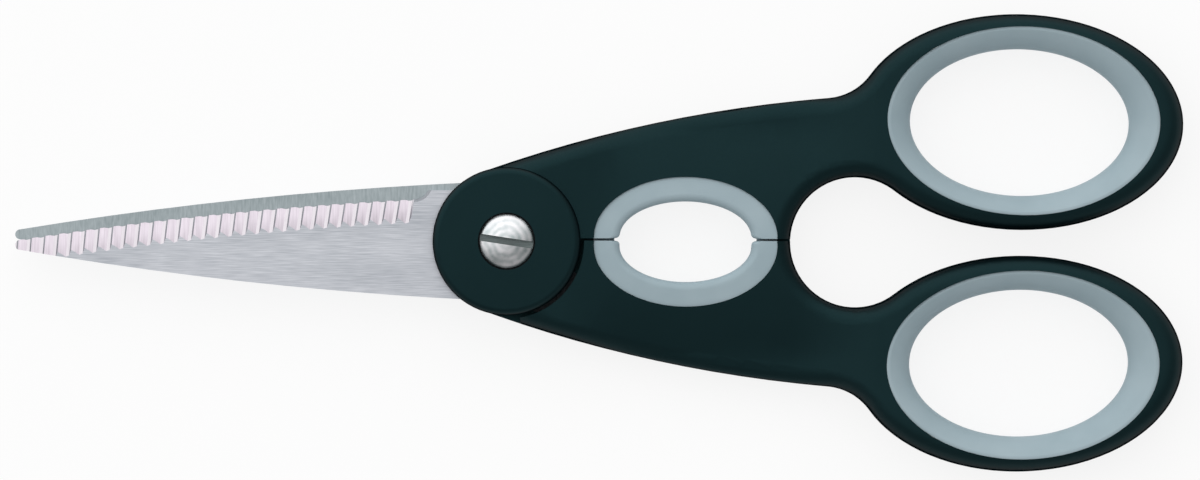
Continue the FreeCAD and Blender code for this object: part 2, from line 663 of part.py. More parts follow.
def step_seam(body):
    """Lap where the closed halves meet: a tongue on the other half's side of the meeting plane,
    rounded like the arm at its end, and room on this side for the other half's tongue. No light
    passes between them."""
    sketch = new_sketch(body, "SeamTongue", place=SEAM_LEVEL)
    inside = "(seam_gap / 2 + seam_lap)"
    corners = [("0", "-seam_lap"), ("seam_end", "-seam_lap"), ("seam_end", inside), ("0", inside)]
    draw_outline(sketch, corners)
    add_pad(body, sketch, "SeamTonguePad", f"{ARM_HALF} - lap_relief", downwards=True)

    past = f"(seam_end + {CUT_MARGIN})"
    sketch = new_sketch(body, "TongueEnd", "XZ_Plane")
    tongue_end = "(seam_end - corner_play)"
    round_start, round_end = f"({tongue_end} - edge_round)", f"(edge_round - {ARM_HALF})"
    under = f"(-{ARM_HALF} - {CUT_MARGIN})"
    corners = [
        (round_start, f"-{ARM_HALF}"), (tongue_end, round_end), (past, round_end),
        (past, under), (round_start, under),
    ]
    draw_outline(sketch, corners, {0: ("edge_round", True)})
    add_pocket(body, sketch, "TongueEndCut", f"2 * {inside}", symmetric=True)

    sketch = new_sketch(body, "SeamRoom", place=SEAM_LEVEL)
    below = f"(-seam_lap - {CUT_MARGIN})"
    corners = [("0", below), (past, below), (past, SEAM_ROOM), ("0", SEAM_ROOM)]
    draw_outline(sketch, corners)
    add_pocket(body, sketch, "SeamRoomCut", f"half_height + {CUT_MARGIN}", upwards=True)


def close_corner(body, rear):
    """Corner where the seam meets the boss. A thin lip of the front half lies in the meeting
    plane, and the rear half's edge comes nearer below it, so no light passes there either."""
    near, shoulder = "(disc_radius - corner_play)", "disc_radius + shoulder_gap"
    inside = f"({SEAM_ROOM} + corner_lap)"
    if rear:
        edge, far, level = "(seam_lap + corner_play)", f"({shoulder} + corner_play)", "lap_relief"
        thickness = f"{ARM_HALF} - lap_relief"
    else:
        edge, far, level = f"(corner_play - {SEAM_ROOM})", f"({shoulder} + corner_lap)", "0"
        thickness = "2 * (lap_relief - corner_play)"
    sketch = new_sketch(body, "SeamCorner", place=("0", "0", level))
    draw_outline(sketch, [(near, edge), (far, edge), (far, inside), (near, inside)])
    add_pad(body, sketch, "SeamCornerPad", thickness, symmetric=not rear)


def loop_sketch(body, name, height="0"):
    """Sketch in the frame of the tilted finger loop."""
    place = ("loop_reach", "loop_offset", height)
    return new_sketch(body, name, place=place, turn=((0, 0, 1), "-loop_tilt"))


RING_CENTER = ("((rim_near - rim_far) / 2)", "((rim_inside - rim_outside) / 2)")
RING_HALF_LENGTH = "(loop_half_length - (rim_near + rim_far) / 2)"
RING_HALF_WIDTH = "(loop_half_width - (rim_inside + rim_outside) / 2)"


def make_handle(label, rear):
    """Handle of either half. The rear one has a flat boss with a pocket for the nut, the front
    one a domed boss with a round recess for the screw head."""
    body = new_body(label, rear)
    sketch = new_sketch(body, "HandleOutline")
    draw_handle(sketch)
    add_pad(body, sketch, "HandleBlock", f"2 * (half_height + {CUT_MARGIN} / 2)", symmetric=True)
    faces = trim_faces(body)
    add_fillet(body, "OuterEdges", faces, rims_of_curved_walls(faces.Shape), "edge_round")
    step_seam(body)

    sketch = new_sketch(body, "BossSection", "XZ_Plane")
    rim = "half_height" if rear else "(half_height - boss_dome)"
    corners = [
        ("0", "lap_relief"), ("disc_radius", "lap_relief"),
        ("disc_radius", f"{rim} - rim_round"), ("disc_radius - rim_round", rim),
        ("0", "half_height"),
    ]
    bows = {2: ("rim_round", True)}
    if not rear:
        bows[3] = ("((disc_radius - rim_round) ^ 2 + boss_dome ^ 2) / (2 * boss_dome)", True)
    draw_outline(sketch, corners, bows)
    add_revolution(body, sketch, "Boss")

    sketch = new_sketch(body, "Shoulder", place=("0", "0", "lap_relief"))
    shoulder = "(disc_radius + shoulder_gap)"
    beyond = "(2 * disc_radius)"
    start, end = "shoulder_end_angle", "(180 - shoulder_end_angle / 2)"
    corners = [
        (f"{shoulder} * cos({start})", f"{shoulder} * sin({start})"),
        (f"{beyond} * cos({start})", f"{beyond} * sin({start})"),
        (f"{beyond} * cos({end})", f"{beyond} * sin({end})"),
        (f"-{shoulder}", "0"),
        ("0", f"-{shoulder}"),
        (f"{shoulder}", "0"),
    ]
    round_side = (shoulder, True)
    draw_outline(sketch, corners, {3: round_side, 4: round_side, 5: round_side})
    add_pocket(body, sketch, "ShoulderCut", f"half_height + lap_relief + {CUT_MARGIN}")
    close_corner(body, rear)

    sketch = new_sketch(body, "TangSlot", place=("0", "0", BLADE_FLOOR))
    draw_blade(sketch)
    add_pocket(body, sketch, "TangSlotCut", "blade_thickness", upwards=True)

    sketch = new_sketch(body, "PivotRecess", place=("0", "0", BLADE_FLOOR))
    if rear:
        draw_hexagon(sketch, "nut_flats + 2 * nut_gap")
    else:
        draw_circle(sketch, ("0", "0"), "head_diameter / 2 + head_gap")
    add_pocket(body, sketch, "PivotRecessCut", f"half_height + {CUT_MARGIN}", upwards=True)

    through = f"2 * half_height + {CUT_MARGIN}"
    sketch = new_sketch(body, "GripRecess")
    draw_ellipse(sketch, ("grip_reach", "grip_lift"), "grip_half_length", "grip_half_width")
    add_pocket(body, sketch, "GripRecessCut", through, symmetric=True)

    sketch = loop_sketch(body, "LoopHole")
    draw_ellipse(sketch, RING_CENTER, RING_HALF_LENGTH, RING_HALF_WIDTH)
    add_pocket(body, sketch, "LoopHoleCut", through, symmetric=True)
    return body


def make_loop_liner(label, turned_over):
    """Soft ring in the finger loop. Its section swells towards the finger, so the opening
    is lofted through ellipses that are tightest at the middle."""
    body = new_body(label, turned_over)
    sketch = loop_sketch(body, "LinerOutline")
    draw_ellipse(sketch, RING_CENTER, f"{RING_HALF_LENGTH} - bond_gap", f"{RING_HALF_WIDTH} - bond_gap")
    add_pad(body, sketch, "LinerBlock", "2 * (half_height - liner_recess)", symmetric=True)

    sections = []
    for number, level in enumerate(LINER_LEVELS):
        swell = f"(1 - {abs(level)} ^ liner_belly)"
        walls = {
            side: f"(liner_lip + (liner_{side} - liner_lip) * {swell})"
            for side in ("far", "near", "outside", "inside")
        }
        sketch = loop_sketch(body, f"Opening{number}", f"{level} * (half_height - liner_recess)")
        center = (
            f"{RING_CENTER[0]} + ({walls['near']} - {walls['far']}) / 2",
            f"{RING_CENTER[1]} + ({walls['inside']} - {walls['outside']}) / 2",
        )
        draw_ellipse(sketch, center,
                     f"{RING_HALF_LENGTH} - ({walls['near']} + {walls['far']}) / 2",
                     f"{RING_HALF_WIDTH} - ({walls['inside']} + {walls['outside']}) / 2")
        sections.append(sketch)
    before = body.Shape.Volume
    opening = body.newObject("PartDesign::SubtractiveLoft", "Opening")
    opening.Profile = sections[0]
    opening.Sections = sections[1:]
    doc.recompute()
    check_cut(before, opening)
    return body


def make_grip_pad(label, turned_over):
    """Soft half ring: an elliptic ring with rounded inner edges, cut along the stepped seam."""
    body = new_body(label, turned_over)
    center = ("grip_reach", "grip_lift")
    sketch = new_sketch(body, "PadOutline")
    draw_ellipse(sketch, center, "grip_half_length - bond_gap", "grip_half_width - bond_gap")
    height = f"2 * ({ARM_HALF} - pad_recess)"
    block = add_pad(body, sketch, "PadBlock", height, symmetric=True)
    outer_rims = len(rims_of_curved_walls(block.Shape))

    sketch = new_sketch(body, "PadOpening")
    draw_ellipse(sketch, center, "grip_half_length - pad_end_wall", "grip_half_width - pad_side_wall")
    ring = add_pocket(body, sketch, "PadOpeningCut", height, symmetric=True)
    rims = rims_of_curved_walls(ring.Shape)
    rims.sort(key=lambda name: ring.Shape.getElement(name).Length)
    add_fillet(body, "InnerEdges", ring, rims[:-outer_rims], "pad_round")

    low, left, right = "-2 * grip_half_width", "grip_reach - 2 * grip_half_length", \
        "grip_reach + 2 * grip_half_length"
    for name, line, upwards in (("SeamSide", SEAM_ROOM, True), ("SeamTongue", "-seam_lap", False)):
        sketch = new_sketch(body, name, place=SEAM_LEVEL)
        draw_outline(sketch, [(left, low), (right, low), (right, line), (left, line)])
        add_pocket(body, sketch, f"{name}Cut", height, upwards=upwards)
    return body


def draw_hexagon(sketch, flats):
    """Hexagon with its corners on the long axis."""
    corners = [
        (f"({flats}) / sqrt(3) * cos({60 * step})", f"({flats}) / sqrt(3) * sin({60 * step})")
        for step in range(6)
    ]
    draw_outline(sketch, corners)


HEAD_SEAT = f"({BLADE_FACE} + washer_thickness + washer_dish + 2 * washer_play)"
HEAD_TOP = f"({HEAD_SEAT} + head_edge + head_crown)"
NUT_END = f"(-{BLADE_FACE} - nut_height)"


def make_screw(label):
    """Slotted screw: domed head, plain shoulder for both blades, thinner threaded end."""
    body = new_body(label)
    sketch = new_sketch(body, "ScrewSection", "XZ_Plane")
    head, shank, thread = "head_diameter / 2", "shank_diameter / 2", "thread_diameter / 2"
    end = f"({NUT_END} + thread_end_recess)"
    dome = f"(({head}) ^ 2 + head_crown ^ 2) / (2 * head_crown)"
    corners = [
        ("0", end),
        (f"{thread} - thread_chamfer", end),
        (thread, f"{end} + thread_chamfer"),
        (thread, f"-{BLADE_FACE}"),
        (shank, f"-{BLADE_FACE}"),
        (shank, HEAD_SEAT),
        (head, HEAD_SEAT),
        (head, f"{HEAD_SEAT} + head_edge"),
        ("0", HEAD_TOP),
    ]
    draw_outline(sketch, corners, {7: (dome, True)})
    add_revolution(body, sketch, "ScrewTurned")
    sketch = new_sketch(body, "DriverSlot", place=("0", "0", HEAD_TOP),
                        turn=((0, 0, 1), "-slot_turn"))
    corners = [("-head_diameter", "-slot_width / 2"), ("head_diameter", "-slot_width / 2"),
               ("head_diameter", "slot_width / 2"), ("-head_diameter", "slot_width / 2")]
    draw_outline(sketch, corners)
    add_pocket(body, sketch, "DriverSlotCut", "slot_depth")
    return body


def make_washer(label):
    """Dished spring washer: its rim lies on the front blade, its bore under the head."""
    body = new_body(label)
    sketch = new_sketch(body, "WasherSection", "XZ_Plane")
    rim, bore = "washer_diameter / 2", "shank_diameter / 2 + washer_bore_gap"
    low = f"({BLADE_FACE} + washer_play)"
    corners = [
        (bore, f"{low} + washer_dish"), (rim, low), (rim, f"{low} + washer_thickness"),
        (bore, f"{low} + washer_dish + washer_thickness"),
    ]
    draw_outline(sketch, corners)
    add_revolution(body, sketch, "WasherTurned")
    return body


def make_nut(label):
    """Thin hexagon nut on the rear blade, its outer corners bevelled."""
    body = new_body(label)
    sketch = new_sketch(body, "NutOutline", place=("0", "0", NUT_END))
    draw_hexagon(sketch, "nut_flats")
    draw_circle(sketch, ("0", "0"), "thread_diameter / 2 + thread_gap")
    add_pad(body, sketch, "NutBlock", "nut_height")
    sketch = new_sketch(body, "CornerBevel", "XZ_Plane")
    rise = f"{NUT_END} + nut_flats / 2 * tan(nut_bevel_angle)"
    draw_outline(sketch, [("nut_flats / 2", NUT_END), ("nut_flats", NUT_END), ("nut_flats", rise)])
    add_groove(body, sketch, "CornerBevelCut", "360")
    return body


sub_parts = [
    make_blade("front_blade", turned_over=False, fluted=True),
    make_blade("rear_blade", turned_over=True, fluted=False),
    make_handle("upper_handle", rear=False),
    make_handle("lower_handle", rear=True),
    make_loop_liner("upper_loop_liner", turned_over=False),
    make_loop_liner("lower_loop_liner", turned_over=True),
    make_grip_pad("upper_grip_pad", turned_over=False),
    make_grip_pad("lower_grip_pad", turned_over=True),
    make_screw("pivot_screw"),
    make_washer("spring_washer"),
    make_nut("pivot_nut"),
]

doc.recompute()
for item in doc.Objects:
    if {"Invalid", "Error"} & set(item.State):
        raise RuntimeError(f"{item.Name} failed: {item.State}")
for part in sub_parts:
    shape = part.Shape
    if shape.isNull() or not shape.isValid() or len(shape.Solids) != 1:
        raise RuntimeError(f"{part.Label} is not one valid solid")

os.makedirs("parts", exist_ok=True)
for part in sub_parts:
    part.Shape.exportStep(f"parts/{part.Label}.step")
    box = part.Shape.BoundBox
    print(f"{part.Label}: {part.Shape.Volume:.1f} mm3, "
          f"x {box.XMin:.2f} to {box.XMax:.2f}, y {box.YMin:.2f} to {box.YMax:.2f}, "
          f"z {box.ZMin:.2f} to {box.ZMax:.2f}")
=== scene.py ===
import json
import math

import bmesh
import bpy
from mathutils import Matrix, Vector


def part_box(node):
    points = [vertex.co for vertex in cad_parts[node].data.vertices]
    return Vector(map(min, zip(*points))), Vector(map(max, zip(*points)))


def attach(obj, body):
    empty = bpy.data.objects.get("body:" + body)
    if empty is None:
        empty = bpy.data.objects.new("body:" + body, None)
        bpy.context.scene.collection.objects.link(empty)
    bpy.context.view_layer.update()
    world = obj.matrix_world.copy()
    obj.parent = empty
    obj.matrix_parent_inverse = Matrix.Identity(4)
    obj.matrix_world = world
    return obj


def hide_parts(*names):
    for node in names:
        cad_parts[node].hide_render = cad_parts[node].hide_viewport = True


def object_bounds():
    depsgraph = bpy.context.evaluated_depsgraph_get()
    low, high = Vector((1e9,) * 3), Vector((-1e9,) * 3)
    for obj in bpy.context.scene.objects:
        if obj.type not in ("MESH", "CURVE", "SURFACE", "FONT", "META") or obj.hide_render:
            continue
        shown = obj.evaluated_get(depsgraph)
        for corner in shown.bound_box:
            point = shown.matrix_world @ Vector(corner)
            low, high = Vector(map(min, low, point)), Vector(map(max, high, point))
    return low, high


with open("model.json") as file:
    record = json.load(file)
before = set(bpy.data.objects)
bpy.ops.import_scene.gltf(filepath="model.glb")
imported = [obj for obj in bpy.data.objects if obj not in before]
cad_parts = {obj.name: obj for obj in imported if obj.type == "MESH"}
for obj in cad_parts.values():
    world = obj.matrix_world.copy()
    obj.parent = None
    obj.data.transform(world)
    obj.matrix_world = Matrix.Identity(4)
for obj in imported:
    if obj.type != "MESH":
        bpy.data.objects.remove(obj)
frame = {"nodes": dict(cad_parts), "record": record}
cad_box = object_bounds()

# Rear blade.
# A stainless blank with a plain bevel ground along its edge. Its inner face is ground across
# and shows past the front blade's flutes. Its tang is moulded into the lower handle.

MM = 0.001
MERGE_GAP = 0.002 * MM
SLIVER = 0.001 * MM


def new_piece(shape, name, crease):
    """Object made of a finished mesh, smooth up to the crease angle in degrees."""
    for face in shape.faces:
        face.smooth = True
    for edge in shape.edges:
        edge.smooth = len(edge.link_faces) == 2 and edge.calc_face_angle() < math.radians(crease)
    mesh = bpy.data.meshes.new(name)
    shape.to_mesh(mesh)
    shape.free()
    piece = bpy.data.objects.new(name, mesh)
    bpy.context.scene.collection.objects.link(piece)
    return piece


def merged_copy(node, name, crease):
    """Copy of a node's mesh with its loose triangles joined."""
    shape = bmesh.new()
    shape.from_mesh(frame["nodes"][node].data)
    bmesh.ops.remove_doubles(shape, verts=shape.verts, dist=MERGE_GAP)
    bmesh.ops.dissolve_degenerate(shape, edges=shape.edges, dist=SLIVER)
    return new_piece(shape, name, crease)


def fit(piece, node, body):
    """Let a piece move with a body and stand for a node."""
    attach(piece, body)
    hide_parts(node)


def new_material(name):
    """Material, its main shader, and the place on the piece that its patterns read."""
    material = bpy.data.materials.new(name)
    material.use_nodes = True
    nodes = material.node_tree.nodes
    return material, nodes["Principled BSDF"], nodes.new("ShaderNodeTexCoord").outputs["Object"]


def link(owner, output, socket):
    """Join two sockets in the nodes of a material or of the sky."""
    owner.node_tree.links.new(output, socket)


def add_noise(material, place, scale, detail, stretch=(1.0, 1.0, 1.0)):
    """Noise with features of about 1 / scale metres, stretched along the axes."""
    nodes = material.node_tree.nodes
    mapping = nodes.new("ShaderNodeMapping")
    mapping.inputs["Scale"].default_value = stretch
    noise = nodes.new("ShaderNodeTexNoise")
    noise.inputs["Scale"].default_value = scale
    noise.inputs["Detail"].default_value = detail
    link(material, place, mapping.inputs["Vector"])
    link(material, mapping.outputs["Vector"], noise.inputs["Vector"])
    return noise.outputs["Fac"]


def mix_patterns(material, first, second, share):
    """One pattern with a share of another in it."""
    mix = material.node_tree.nodes.new("ShaderNodeMix")
    mix.inputs["Factor"].default_value = share
    link(material, first, mix.inputs["A"])
    link(material, second, mix.inputs["B"])
    return mix.outputs["Result"]


PATTERN_SPAN = (0.3, 0.7)


def add_ramp(material, pattern, low, high):
    """Colour between two others, as a pattern goes from its low to its high places."""
    ramp = material.node_tree.nodes.new("ShaderNodeValToRGB")
    for stop, position, colour in zip(ramp.color_ramp.elements, PATTERN_SPAN, (low, high)):
        stop.position = position
        stop.color = (*colour, 1.0)
    link(material, pattern, ramp.inputs["Fac"])
    return ramp.outputs["Color"]


def add_range(owner, pattern, low, high, span=PATTERN_SPAN):
    """Number between two others, as a pattern goes through a span of its values."""
    scaled = owner.node_tree.nodes.new("ShaderNodeMapRange")
    scaled.inputs["From Min"].default_value, scaled.inputs["From Max"].default_value = span
    scaled.inputs["To Min"].default_value = low
    scaled.inputs["To Max"].default_value = high
    link(owner, pattern, scaled.inputs["Value"])
    return scaled.outputs["Result"]


def add_bump(material, shader, pattern, depth, strength):
    """Fine relief of a pattern on the surface."""
    bump = material.node_tree.nodes.new("ShaderNodeBump")
    bump.inputs["Strength"].default_value = strength
    bump.inputs["Distance"].default_value = depth
    link(material, pattern, bump.inputs["Height"])
    link(material, bump.outputs["Normal"], shader.inputs["Normal"])


CLOUD_SHARE = 0.3
GRIND_DEPTH = 0.01 * MM
TANG_START = -7.5 * MM
TANG_FADE = 1.5 * MM
# Near black, painted shade for the heel and tang inside the handle.
TANG_SHADE_COLOUR = (0.03, 0.033, 0.036)
MIX_COLOUR_A, MIX_COLOUR_B, MIX_COLOUR_RESULT = 6, 7, 2


def ground_steel(name, low, high, roughness, scale, stretch, strength):
    """Stainless steel with grinding lines over soft clouds. The stretch turns the lines along
    or across the blade. Inside the handle, heel and tang are painted near black as painted shade."""
    material, shader, place = new_material(name)
    nodes = material.node_tree.nodes
    lines = add_noise(material, place, scale, detail=6.0, stretch=stretch)
    clouds = add_noise(material, place, scale=160.0, detail=3.0, stretch=(0.3, 1.0, 1.0))
    ground = add_ramp(material, mix_patterns(material, lines, clouds, CLOUD_SHARE), low, high)
    split = nodes.new("ShaderNodeSeparateXYZ")
    link(material, place, split.inputs["Vector"])
    # Painted shade: past TANG_START the steel fades to near black, standing in for the shade in the
    # gap between boss and arm.
    inside = add_range(material, split.outputs["X"], 0.0, 1.0, (TANG_START, TANG_START + TANG_FADE))
    colour = nodes.new("ShaderNodeMix")
    colour.data_type = "RGBA"
    colour.inputs[MIX_COLOUR_B].default_value = (*TANG_SHADE_COLOUR, 1.0)
    link(material, inside, colour.inputs["Factor"])
    link(material, ground, colour.inputs[MIX_COLOUR_A])
    shader.inputs["Metallic"].default_value = 1.0
    link(material, colour.outputs[MIX_COLOUR_RESULT], shader.inputs["Base Color"])
    link(material, add_range(material, lines, *roughness), shader.inputs["Roughness"])
    add_bump(material, shader, lines, GRIND_DEPTH, strength)
    return material


ACROSS_BEVEL = (1.0, 0.05, 0.05)
STEEL_FINISHES = (
    ground_steel("brushed_steel", low=(0.37, 0.395, 0.435), high=(0.72, 0.735, 0.78),
                 roughness=(0.30, 0.42), scale=6500.0, stretch=(0.035, 1.0, 1.0), strength=0.3),
    ground_steel("cross_ground_steel", low=(0.27, 0.32, 0.335), high=(0.48, 0.535, 0.555),
                 roughness=(0.36, 0.5), scale=3000.0, stretch=(1.0, 0.16, 1.0), strength=0.5),
    ground_steel("bevel_ground_steel", low=(0.52, 0.485, 0.52), high=(0.63, 0.60, 0.63),
                 roughness=(0.28, 0.4), scale=4200.0, stretch=ACROSS_BEVEL, strength=0.3),
    ground_steel("flute_ground_steel", low=(0.45, 0.405, 0.45), high=(0.69, 0.63, 0.69),
                 roughness=(0.28, 0.4), scale=3200.0, stretch=ACROSS_BEVEL, strength=0.3),
    # Steep flute walls: the ground steel painted darker, as painted shade on the walls.
    ground_steel("steep_wall_painted_shade", low=(0.27, 0.28, 0.30), high=(0.40, 0.41, 0.44),
                 roughness=(0.4, 0.55), scale=4200.0, stretch=ACROSS_BEVEL, strength=0.3),
)
BRUSHED, INNER, BEVEL, FLUTE, STEEP_SHADED = range(len(STEEL_FINISHES))
FLUTES_END = -16.2 * MM
UPRIGHT, LEVEL = 0.2, 0.995
STEEP_LEAN = -0.45


def finish_blade(piece, inner_side):
    """Give each face of a blade its grind: bevel, flutes, inner face; the flutes' steep walls get
    steel painted darker as their shade.
    """
    for material in STEEL_FINISHES:
        piece.data.materials.append(material)
    for face in piece.data.polygons:
        finish = BRUSHED
        if UPRIGHT < abs(face.normal.z) < LEVEL:
            # The flutes' steep walls take the darker steel, as painted shade.
            if face.normal.x < STEEP_LEAN and face.center.x < FLUTES_END:
                finish = STEEP_SHADED
            else:
                finish = FLUTE if face.normal.x > 0.0 else BEVEL
        elif face.normal.z * inner_side >= LEVEL:
            finish = INNER
        face.material_index = finish


rear_blade = merged_copy("rear_blade", "rear_blade_steel", crease=12.0)
finish_blade(rear_blade, inner_side=1)
fit(rear_blade, "rear_blade", "rear_half")

# Front blade.
# The same blank with flutes ground across its edge. They leave a saw-toothed edge that
# grips what is cut. Its tang is moulded into the upper handle.

front_blade = merged_copy("front_blade", "front_blade_steel", crease=8.0)
finish_blade(front_blade, inner_side=-1)
fit(front_blade, "front_blade", "front_half")

# Handles.
# Hard black plastic moulded round the tangs: boss, arm, neck and loop in one piece,
# with a fine satin texture from the mould. The arms are crowned from the seam outwards.

GLOSS = 0.30
GLOSS_TINT = (0.36, 0.92, 1.0, 1.0)
TURNED_SPAN = (0.22, 0.58)
LEVEL_SPAN = (0.42, 0.78)


def add_math(owner, operation, *numbers):
    """Result of an operation on numbers that come from other nodes."""
    node = owner.node_tree.nodes.new("ShaderNodeMath")
    node.operation = operation
    for number, socket in zip(numbers, node.inputs):
        link(owner, number, socket)
    return node.outputs["Value"]


def moulded_black():
    """Satin black, glossier on its faces than where a rounded edge turns away."""
    material, shader, place = new_material("moulded_black")
    nodes = material.node_tree.nodes
    cloud = add_noise(material, place, scale=90.0, detail=3.0)
    texture = add_noise(material, place, scale=3600.0, detail=2.0)
    colour = add_ramp(material, cloud, low=(0.0012, 0.0040, 0.0050), high=(0.0018, 0.0054, 0.0066))
    link(material, colour, shader.inputs["Base Color"])
    link(material, add_range(material, texture, 0.42, 0.52), shader.inputs["Roughness"])
    turned = nodes.new("ShaderNodeLayerWeight").outputs["Facing"]
    split = nodes.new("ShaderNodeSeparateXYZ")
    link(material, nodes.new("ShaderNodeTexCoord").outputs["Normal"], split.inputs["Vector"])
    level = add_math(material, "ABSOLUTE", split.outputs["Z"])
    gloss = add_math(material, "MAXIMUM", add_range(material, turned, GLOSS, 0.0, TURNED_SPAN),
                     add_range(material, level, 0.0, GLOSS, LEVEL_SPAN))
    shader.inputs["Specular IOR Level"].default_value = GLOSS
    link(material, gloss, shader.inputs["Specular IOR Level"])
    shader.inputs["Specular Tint"].default_value = GLOSS_TINT
    add_bump(material, shader, texture, depth=0.02 * MM, strength=0.25)
    return material


def even_normals(piece):
    """Let the broad faces set the shading, so that roundings run smoothly into them."""
    normals = piece.modifiers.new("even_normals", "WEIGHTED_NORMAL")
    normals.mode = "FACE_AREA"
    normals.weight = 100
    normals.keep_sharp = True


CUT_SNAP = 0.0001 * MM


def cut(shape, faces, place, normal, drop=False):
    """Cut faces along a plane, and where asked drop what lies behind it."""
    edges = dict.fromkeys(edge for face in faces for edge in face.edges)
    points = dict.fromkeys(vertex for face in faces for vertex in face.verts)
    bmesh.ops.bisect_plane(shape, geom=[*points, *edges, *faces], dist=CUT_SNAP,
                           plane_co=place, plane_no=normal, clear_inner=drop)


def ease(number, low, high):
    """Smooth rise from 0 to 1 between two numbers."""
    share = min(max((number - low) / (high - low), 0.0), 1.0)
    return share * share * (3.0 - 2.0 * share)


ARM_HALF = 4.1 * MM
CROWN_RADIUS = 90.0 * MM
CROWN_REACH = 19.0 * MM
CROWN_START, CROWN_FULL = 9.0 * MM, 22.0 * MM
CROWN_FADE, CROWN_END = 48.0 * MM, 64.0 * MM
CROWN_STEP = 2.0 * MM
UPWARD = 0.5
ALONG, ACROSS = Vector((1.0, 0.0, 0.0)), Vector((0.0, 1.0, 0.0))
mid_height = frame["record"]["behaviour"]["joints"][0]["pos_m"][2]


def crown(piece):
    """Thin an arm gently from the seam to its outer edge, so that its faces are crowned."""
    shape = bmesh.new()
    shape.from_mesh(piece.data)
    steps = int((CROWN_END - CROWN_START) / CROWN_STEP)
    side_steps = int(CROWN_REACH / CROWN_STEP) + 1
    cuts = [(ALONG * (CROWN_START + step * CROWN_STEP), ALONG) for step in range(steps + 1)]
    cuts += [(ACROSS * step * CROWN_STEP, ACROSS) for step in range(-side_steps, side_steps + 1)]
    for place, normal in cuts:
        near = [face for face in shape.faces if abs(face.normal.z) > UPWARD
                and CROWN_START < max(vertex.co.x for vertex in face.verts)
                and min(vertex.co.x for vertex in face.verts) < CROWN_END]
        cut(shape, near, place, normal)
    for vertex in shape.verts:
        share = (ease(vertex.co.x, CROWN_START, CROWN_FULL)
                 * (1.0 - ease(vertex.co.x, CROWN_FADE, CROWN_END)))
        drop = min(abs(vertex.co.y), CROWN_REACH) ** 2 / (2.0 * CROWN_RADIUS) * share
        vertex.co.z -= (vertex.co.z - mid_height) * drop / ARM_HALF
    shape.to_mesh(piece.data)
    shape.free()


black = moulded_black()
for node, body in (("upper_handle", "front_half"), ("lower_handle", "rear_half")):
    handle = merged_copy(node, f"{node}_shell", crease=28.0)
    crown(handle)
    handle.data.materials.append(black)
    even_normals(handle)
    fit(handle, node, body)

# Finger loop linings.
# Rings of soft grey elastomer moulded into the loops. The section swells towards the
# finger, and its rims end a little below the faces of the loop.


def soft_grey():
    """Matt grey elastomer, faintly clouded, with a fine moulded texture."""
    material, shader, place = new_material("soft_grey")
    cloud = add_noise(material, place, scale=120.0, detail=3.0)
    texture = add_noise(material, place, scale=4200.0, detail=2.0)
    colour = add_ramp(material, cloud, low=(0.332, 0.428, 0.470), high=(0.374, 0.470, 0.512))
    link(material, colour, shader.inputs["Base Color"])
    link(material, add_range(material, texture, 0.55, 0.66), shader.inputs["Roughness"])
    shader.inputs["Specular IOR Level"].default_value = 0.3
    add_bump(material, shader, texture, depth=0.015 * MM, strength=0.2)
    return material


RING_STEPS = 192


def ellipse(center, half_length, half_width, height, tilt=0.0):
    """Place and size of a ring of points round an ellipse at one height."""
    return (Matrix.Translation((center.x, center.y, height)) @ Matrix.Rotation(tilt, 4, "Z")
            @ Matrix.Diagonal((half_length, half_width, 1.0, 1.0)))


def add_closed_ring(shape, places):
    """Closed skin drawn out from each ellipse to the next, and from the last to the first."""
    points = bmesh.ops.create_circle(shape, segments=RING_STEPS, radius=1.0,
                                     matrix=places[0])["verts"]
    edges = list(dict.fromkeys(edge for point in points for edge in point.link_edges))
    for place, following in zip(places, places[1:] + places[:1]):
        drawn = bmesh.ops.extrude_edge_only(shape, edges=edges)["geom"]
        points = [item for item in drawn if isinstance(item, bmesh.types.BMVert)]
        edges = [item for item in drawn
                 if isinstance(item, bmesh.types.BMEdge) and item.is_boundary]
        bmesh.ops.transform(shape, matrix=following @ place.inverted(), verts=points)
    bmesh.ops.remove_doubles(shape, verts=shape.verts, dist=SLIVER)
    bmesh.ops.recalc_face_normals(shape, faces=shape.faces)


LOOP_TILT = math.radians(1.2)
LINER_LIP = 0.5 * MM
LINER_WALLS = {"far": 5.11 * MM, "near": 3.97 * MM, "outside": 3.83 * MM, "inside": 3.29 * MM}
LINER_BELLY = 3.0
LINER_LEVELS = 24

grey = soft_grey()
for node, body, side in (("upper_loop_liner", "front_half", 1),
                         ("lower_loop_liner", "rear_half", -1)):
    low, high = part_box(node)
    middle = (low + high) / 2
    half = (high - low) / 2
    tilt = -side * LOOP_TILT
    along = Vector((math.cos(tilt), math.sin(tilt), 0.0))
    across = Vector((-math.sin(tilt), math.cos(tilt), 0.0))
    places = [ellipse(middle, half.x, half.y, height, tilt) for height in (high.z, low.z)]
    for level in range(LINER_LEVELS + 1):
        share = -math.cos(math.pi * level / LINER_LEVELS)
        swell = 1.0 - abs(share) ** LINER_BELLY
        wall = {end: LINER_LIP + (full - LINER_LIP) * swell for end, full in LINER_WALLS.items()}
        shift = (along * (wall["near"] - wall["far"]) / 2
                 + across * side * (wall["inside"] - wall["outside"]) / 2)
        places.append(ellipse(middle + shift, half.x - (wall["near"] + wall["far"]) / 2,
                              half.y - (wall["inside"] + wall["outside"]) / 2,
                              middle.z + share * half.z, tilt))
    lining = bmesh.new()
    add_closed_ring(lining, places)
    liner = new_piece(lining, f"{node}_soft", crease=50.0)
    liner.data.materials.append(grey)
    fit(liner, node, body)

# Cap grip pads.
# Half rings of the same elastomer, one in each arm, crowned with it. Closed, they make the
# oval that holds a bottle cap, so their inner edges and the corners at the seam are rounded.

PAD_CENTER = Vector((0.0, 0.7 * MM, 0.0))
PAD_END_WALL = 4.38 * MM
PAD_SIDE_WALL = 4.18 * MM
PAD_ROUND = 1.4 * MM
ROUND_STEPS = 10
